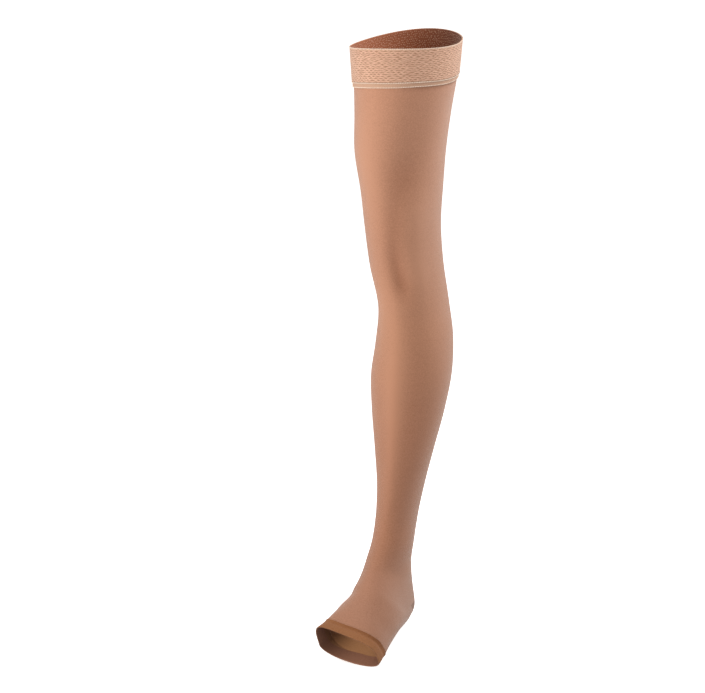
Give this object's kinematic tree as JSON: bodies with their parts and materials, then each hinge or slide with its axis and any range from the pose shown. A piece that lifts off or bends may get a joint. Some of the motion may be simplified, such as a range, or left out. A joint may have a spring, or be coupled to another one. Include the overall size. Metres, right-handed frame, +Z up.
{
  "type": "compression stocking",
  "caption": "Open-toe thigh-high compression stocking in fine beige knit, with a woven silicone-dotted grip band and a folded toe hem, filled out as worn.",
  "frame": {"origin": "centre of the space inside the top grip band, halfway up its 50 mm width, where the thigh holds the stocking", "axes": "+Z up the leg towards the open top, -Y forward to the toes, +X to the outer side of the left leg"},
  "size_m": [0.143, 0.2281, 0.8056],
  "materials": {
    "knit": "matte fine elastic knit",
    "heel_knit": "matte denser knit",
    "band": "woven elastic webbing with raised dashes",
    "hem": "matte double knit"
  },
  "bodies": {
    "root": {"top_band": "band", "leg": "knit", "foot": "knit", "heel": "heel_knit", "toe_hem": "hem"}
  },
  "joints": []
}
